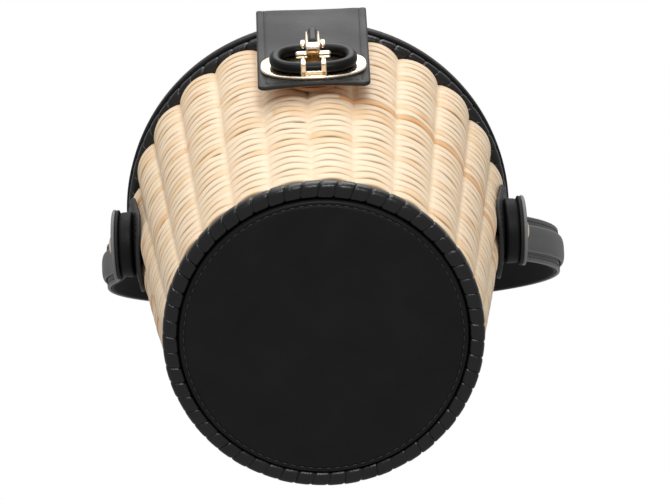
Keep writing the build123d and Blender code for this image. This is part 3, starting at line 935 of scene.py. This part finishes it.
# profile (r, z) of the lid's edge band: rounded, with a seam line low on the outside
def makeLidEdge():
    r, low, high = lid["edgeRadius"], lid["edgeLow"], lid["edgeTop"]
    inner, under, over = r - lid["edgeWidth"], lid["roundLow"], lid["roundTop"]
    z = np.linspace(low + under, high - over, 16)
    seam = 0.45 * mm * hump(z, low + 2.6 * mm, 0.4 * mm)
    profile = [
        (inner, low),
        *roundedCorner(r - under, low + under, under, -90, -5),
        *zip(r - seam, z),
        *roundedCorner(r - over, high - over, over, 5, 90),
        (inner, high),
        (inner, low),
    ]
    return turnedObject("lidEdge", profile, (0, 0, 0), (0, 0, 1), 192)


# profile (r, z) of the cover: nearly flat, a stitched line, a soft shoulder down to the edge band
def makeLidCover():
    r, low = lid["coverRadius"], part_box("lid_cover")[0].z
    flat, line = r - lid["shoulder"], r - lid["stitchInset"]
    top = np.concatenate([np.linspace(0, flat - 7 * mm, 12), np.linspace(flat - 6.4 * mm, flat, 18)])
    t = np.linspace(0, 1, 9)[1:]
    profile = [
        *zip(top, lidTop - 0.3 * mm * hump(top, line, 0.5 * mm)),
        *zip(flat + t * lid["shoulder"], lidTop - (lidTop - lid["edgeTop"]) * smoothStep(0, 1, t)),
        (r, low),
        (0, low),
    ]
    return turnedObject("lidCover", profile, (0, 0, 0), (0, 0, 1), 192), line


finishPiece(makeLidEdge(), edgeLeather, "lid", "leather", "lid_edge")
lidCover, lidLine = makeLidCover()
finishPiece(lidCover, blackLeather, "lid", "leather", "lid_cover")
finishPiece(ringOfStitches("lidStitches", lidLine, lidTop - 0.18 * mm, 1), blackThread, "lid", "leather")
print("lid ready")


# Side tabs, washers and studs
pivotHeight = 136 * mm
pivotCrest = crestRadius(pivotHeight)
tab = {
    "half": 19 * mm,
    "height": 46 * mm,
    "corner": 12 * mm,
    "thick": 2.0 * mm,
    "gap": 0.15 * mm,
    "stitch": 2.8 * mm,
    "stitchDip": 0.3 * mm,
    "puff": 0.15 * mm,
}
tabStitch = {"pitch": 3.0 * mm, "length": 2.1 * mm, "radius": 0.22 * mm}
washer = {
    "radius": 15.3 * mm,
    "hole": 2.1 * mm,
    "away": 1.2 * mm,
    "taper": 0.3 * mm,
    "eased": 0.5 * mm,
}
stud = {
    "sunk": 5 * mm,
    "shaft": 1.9 * mm,
    "rim": ((4.3, 0), (4.5, 0.3), (4.4, 0.8)),      # radius and height over the strap in mm
    "dimple": ((1.0, 2.28), (0.7, 1.9), (0, 1.75)),
    "dome": 1.5,
}
strap = {
    "standOff": 7.34 * mm,
    "lining": 1.5 * mm,
    "leather": 1.7 * mm,
    "half": 11 * mm,
    "paddle": 16.5 * mm,
    "straight": 17 * mm,
    "flareBy": 9.1 * mm,
    "bulge": 20.7 * mm,
    "sway": 7 * mm,
    "lean": 25.0,
    "stitch": 2.3 * mm,
    "padHalf": 6.6 * mm,
    "padHeight": 2.6 * mm,
    "padSunk": 0.5 * mm,
    "padStart": 9 * mm,
}
strapStitch = {"pitch": 3.4 * mm, "length": 2.5 * mm, "radius": 0.24 * mm}
strapInside = pivotCrest + strap["standOff"]
strapThick = strap["lining"] + strap["leather"]
strapMiddle = strapInside + strapThick / 2


# tab on the cone outside the crests: turned by x/r about Z at each height z
def makeTab(side, word, node):
    def place(x, z):
        r = crestRadius(z) + tab["gap"] / slant
        angle = side * x / r
        normal = np.stack([side * slant * np.cos(angle), slant * np.sin(angle), -slant * flare + 0 * x], -1)
        return np.stack([side * r * np.cos(angle), r * np.sin(angle), z], -1), normal

    def extra(d, x, z):
        dip = tab["stitchDip"] * hump(d, tab["stitch"], 0.5 * mm)
        return tab["puff"] * smoothStep(4 * mm, 9 * mm, d) - dip

    low, high = pivotHeight - tab["height"] / 2, pivotHeight + tab["height"] / 2
    s, w = slabRows(low, high, tab["half"], tab["corner"], tab["corner"], 2 * mm)
    obj = slabObject("sideTab" + word, s, w, place, tab["thick"], 0.9 * mm, extra, 31)
    finishPiece(obj, blackLeather, "basket", "leather", node)
    corner = tab["corner"] - tab["stitch"]
    a = np.linspace(0, full, 160)
    x, z = (
        np.sign(part) * (reach - tab["stitch"] - corner) + corner * part
        for part, reach in ((np.cos(a), tab["half"]), (np.sin(a), tab["height"] / 2))
    )
    height = tab["thick"] - 0.12 * mm
    stitches = lineOfStitches(f"sideTab{word}Stitches", place, x, z + pivotHeight, height, tabStitch)
    finishPiece(stitches, blackThread, "basket", "leather")


# leather between the tab and the strap: radius falls by taper*t^1.6 outwards, and its edges are eased
def makeWasher(side, word, node):
    start, end = pivotCrest + washer["away"], strapInside - 0.1 * mm
    t = np.linspace(0, 1, 9)
    reach = washer["radius"] - washer["taper"] * t**1.6 - washer["eased"] * (2 * t - 1) ** 6
    profile = [(washer["hole"], start), *zip(reach, start + (end - start) * t), (washer["hole"], end)]
    obj = turnedObject("tabWasher" + word, profile, (0, 0, pivotHeight), (side, 0, 0), 64)
    finishPiece(obj, discLeather, "basket", "leather", node)


# domed stud head with a small dimple, on its shaft
def makeStud(side, word, node):
    face, sunk = strapInside + strapThick + 0.05 * mm, pivotCrest - stud["sunk"]
    dome, (wide, high) = np.linspace(0.25, 1.25, 8), stud["rim"][-1]
    head = [*stud["rim"], *zip(wide * np.cos(dome), high + stud["dome"] * np.sin(dome)), *stud["dimple"]]
    profile = [(0, sunk), (stud["shaft"], sunk), (stud["shaft"], face)]
    profile += [(r * mm, face + h * mm) for r, h in head]
    obj = turnedObject("stud" + word, profile, (0, 0, pivotHeight), (side, 0, 0), 48)
    finishPiece(obj, gold, "basket", "gold", node)


for side, word in ((1, "Right"), (-1, "Left")):
    makeTab(side, word, "side_tab_" + word.lower())
    makeWasher(side, word, "tab_washer_" + word.lower())
    makeStud(side, word, "stud_" + word.lower())
print("tabs ready")


# Strap handle: straight ends, an arc that flares out, and one wide arc over the lid
archRadius = strapMiddle + strap["bulge"]
archRise = np.sqrt(archRadius**2 - (strapMiddle - strap["sway"]) ** 2) + strap["flareBy"]


# middle line of the strap as (x, s) points from one side's lower end to the top
def archHalf(side):
    across = strapMiddle - side * strap["sway"]
    flareRadius = (across**2 + archRise**2 - archRadius**2) / (2 * (archRadius - across))
    turnBy = asin(archRise / (archRadius + flareRadius))
    low = np.linspace(-strap["paddle"], strap["straight"], 30)
    a, b = np.linspace(0, turnBy, 24)[1:], np.linspace(-turnBy, pi / 2, 90)[1:]
    x = [0 * low + strapMiddle, strapMiddle + flareRadius * (1 - np.cos(a)),
         side * strap["sway"] + archRadius * np.cos(b)]
    s = [low, strap["straight"] + flareRadius * np.sin(a),
         strap["straight"] + archRise + archRadius * np.sin(b)]
    return np.stack([side * np.concatenate(x), np.concatenate(s)], 1)


archPath = np.vstack([archHalf(-1), archHalf(1)[::-1][1:]])
archLengths = pathLengths(archPath)
archTotal = archLengths[-1]
leanAngle = radians(strap["lean"])
archX = np.array([1.0, 0, 0])
archUp = np.array([0, sin(leanAngle), cos(leanAngle)])
archSide = np.array([0, cos(leanAngle), -sin(leanAngle)])


# point and outward normal of the strap's middle line moved outwards, at w across and s along
def archPlace(away):
    def place(w, s):
        path = alongPath(archPath, archLengths, s, 0.5 * mm)
        w, x, up, dx, du = (part[..., None] for part in (w, *path))
        normal = dx * archUp - du * archX
        points = np.array([0, 0, pivotHeight]) + x * archX + up * archUp + w * archSide
        return points + normal * away, normal
    return place


# half width of the strap: a round end on each stud, then the plain strap
def strapHalf(s):
    t = np.minimum(s, archTotal - s) - strap["paddle"]
    roundEnd = np.sqrt(np.maximum(0, strap["paddle"] ** 2 - t**2))
    return np.where(t < 0, roundEnd, np.maximum(roundEnd, strap["half"]))


# a stitched line inside the edge, and a groove beside the pad
def strapExtra(d, x, s):
    t = np.minimum(s, archTotal - s) - strap["paddle"] - strap["padStart"]
    line = 0.28 * mm * hump(d, strap["stitch"], 0.45 * mm)
    beside = 0.55 * mm * hump(np.abs(x), 7.2 * mm, 0.6 * mm) * smoothStep(0, 3 * mm, t)
    return -line - beside


def makeStrap():
    end = strap["paddle"] * (1 - np.cos(np.linspace(0, pi / 2, 14)))
    end = np.concatenate([end, strap["paddle"] + np.linspace(1.2, 16, 12) * mm])
    s = np.concatenate([end, np.linspace(end[-1], archTotal - end[-1], 170)[1:-1], (archTotal - end)[::-1]])
    w = strapHalf(s)
    half, thick = strapThick / 2, strap["leather"]
    place = archPlace(half - thick)
    outer = slabObject("strapOuter", s, w, place, thick, 0.8 * mm, strapExtra, 45, ends=False)
    # outer face in the grey leather: a painted sheen on black leather
    finishPiece(outer, strapLeatherPaintedSheen, "handle", "leather", "handle_strap")
    w = w - 0.15 * mm * (w > 1 * mm)
    inner = slabObject(
        "strapLining", s, w, archPlace(-half), strap["lining"], 0.7 * mm, None, 21, ends=False
    )
    # lining in the dark, shaded copy of the strap leather
    finishPiece(inner, strapLiningAndShade, "handle", "leather", "handle_lining")
    start, wide, sunk = strap["paddle"] + strap["padStart"], strap["padHalf"], strap["padSunk"]
    s, w = slabRows(start, archTotal - start, wide, wide, wide, 2.6 * mm)
    pad = slabObject(
        "strapPad", s, w, archPlace(half - sunk), strap["padHeight"] + sunk, 5.2 * mm, None, 25
    )
    # pad in the grey leather too: a painted sheen
    finishPiece(pad, strapLeatherPaintedSheen, "handle", "leather", "handle_pad")
    a = np.linspace(0.62 * pi, 1.38 * pi, 24)
    reach, edge = strap["paddle"] - strap["stitch"], strap["half"] - strap["stitch"]
    endX, endS = reach * np.sin(a), strap["paddle"] + reach * np.cos(a)
    beyond = strap["paddle"] + 13 * mm
    run = np.linspace(beyond, archTotal - beyond, 400)
    lines = ((0 * run + edge, run), (0 * run - edge, run), (endX, endS), (endX, archTotal - endS))
    stitched = [
        lineOfStitches(f"strapStitches{k}", archPlace(half), x, s, -0.1 * mm, strapStitch)
        for k, (x, s) in enumerate(lines)
    ]
    finishPiece(joined("strapStitches", stitched), blackThread, "handle", "leather")


makeStrap()
print("handle ready")


# Hinge at the back: one leather strap from the lid down the wall, bending at the fold
hinge = {
    "half": 18 * mm,
    "leather": 2.0 * mm,
    "onLid": 30 * mm,
    "onWall": 34 * mm,
    "overhang": 1.6 * mm,
    "fold": 2.5 * mm,
    "corner": 3 * mm,
    "stitch": 3.0 * mm,
}


def makeHinge():
    lidLow, lowZ, r = lid["edgeLow"], wallHigh - hinge["onWall"], hinge["fold"]
    inner, lowY = (crestRadius(z) + hinge["overhang"] / slant for z in (lidLow, lowZ))
    a = np.linspace(pi / 2, 0, 8)
    arc = np.array([inner, lidTop]) - r + r * np.stack([np.cos(a), np.sin(a)], 1)
    down = np.linspace(lidTop - r, lidLow, 12)[1:]
    line = np.vstack([
        [lid["edgeRadius"] - hinge["onLid"], lidTop], arc, np.stack([0 * down + inner, down], 1), [lowY, lowZ]
    ])
    lengths = pathLengths(line)

    def place(x, s):
        y, z, dy, dz = alongPath(line, lengths, s, 0.4 * mm)
        return np.stack([x, y, z], -1), np.stack([0 * x, -dz, dy], -1)

    def extra(d, x, s):
        return -0.3 * mm * hump(d, hinge["stitch"], 0.5 * mm)

    s, w = slabRows(0, lengths[-1], hinge["half"], hinge["corner"], hinge["corner"], 1.4 * mm)
    strapPiece = slabObject("hingeStrap", s, w, place, hinge["leather"], 0.9 * mm, extra, 25)
    half, inset = hinge["half"] - hinge["stitch"], hinge["stitch"]
    run, across = np.linspace(inset, lengths[-1] - inset, 90), np.linspace(-half, half, 30)
    x = np.concatenate([0 * run - half, across, 0 * run + half, across[::-1]])
    s = np.concatenate([run, 0 * across + run[-1], run[::-1], 0 * across + run[0]])
    stitches = lineOfStitches("hingeStitches", place, x, s, hinge["leather"] - 0.15 * mm, flapStitch)
    for obj, material in ((strapPiece, blackLeather), (stitches, blackThread)):
        paint(obj, material)
        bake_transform(obj)
    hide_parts("hinge_leaf_lid", "hinge_leaf_basket")


makeHinge()
print("hinge ready")


# Studio: one pale floor seen only from above, a white surround and soft lamps
studio = {
    "floorSize": 6.0,
    "floorDrop": 0.4 * mm,
    "floorColor": colorOf(238, 238, 238),
    "surroundLight": 0.5,
    "lampTarget": (0, 0, 0.09),
}
lamps = {
    "keyLamp": {"place": (-0.2, -1.5, 0.35), "size": 1.1, "power": 8.0},
    "belowLamp": {"place": (0.1, -1.35, -1.15), "size": 0.6, "power": 13.0},
    "topLamp": {"place": (0.1, -1.2, 1.5), "size": 1.2, "power": 8.0},
}


# the floor's back is clear, so the camera below it sees the bag
def makeFloor():
    span = np.array([-0.5, 0.5]) * studio["floorSize"]
    x, y = np.meshgrid(span, span, indexing="ij")
    floor = gridObject("floor", np.stack([x, y, 0 * x - studio["floorDrop"]], -1), solid=False)
    material, tree, shader = makeMaterial("paleFloor")
    setInputs(tree, shader, {"Base Color": studio["floorColor"], "Roughness": 0.9})
    fromBelow = nodeOn(tree, "NewGeometry", "Backfacing")
    clear = nodeOn(tree, "BsdfTransparent", "BSDF")
    mix = nodeOn(tree, "MixShader", "Shader", {"Fac": fromBelow, 1: shader.outputs["BSDF"], 2: clear})
    setInputs(tree, tree.nodes["Material Output"], {"Surface": mix})
    paint(floor, material)
    for rays in ("shadow", "diffuse", "glossy", "transmission"):
        setattr(floor, "visible_" + rays, False)


# white where the camera sees it, dimmer as light on the bag
def makeWorld():
    world = bpy.data.worlds.new("surround")
    bpy.context.scene.world = world
    world.use_nodes = True
    tree, white = world.node_tree, (1, 1, 1, 1)
    seen = tree.nodes["Background"]
    setInputs(tree, seen, {"Color": white, "Strength": 1.0})
    light = nodeOn(tree, "Background", "Background", {"Color": white, "Strength": studio["surroundLight"]})
    direct = nodeOn(tree, "LightPath", "Is Camera Ray")
    mix = nodeOn(tree, "MixShader", "Shader", {"Fac": direct, 1: light, 2: seen.outputs["Background"]})
    setInputs(tree, tree.nodes["World Output"], {"Surface": mix})


makeFloor()
makeWorld()
for name, lamp in lamps.items():
    data = bpy.data.lights.new(name, "AREA")
    data.shape, data.size, data.energy = "DISK", lamp["size"], lamp["power"]
    aimAt(bpy.data.objects.new(name, data), lamp["place"], studio["lampTarget"])
bpy.context.scene.view_settings.view_transform = "Standard"
print("studio ready")
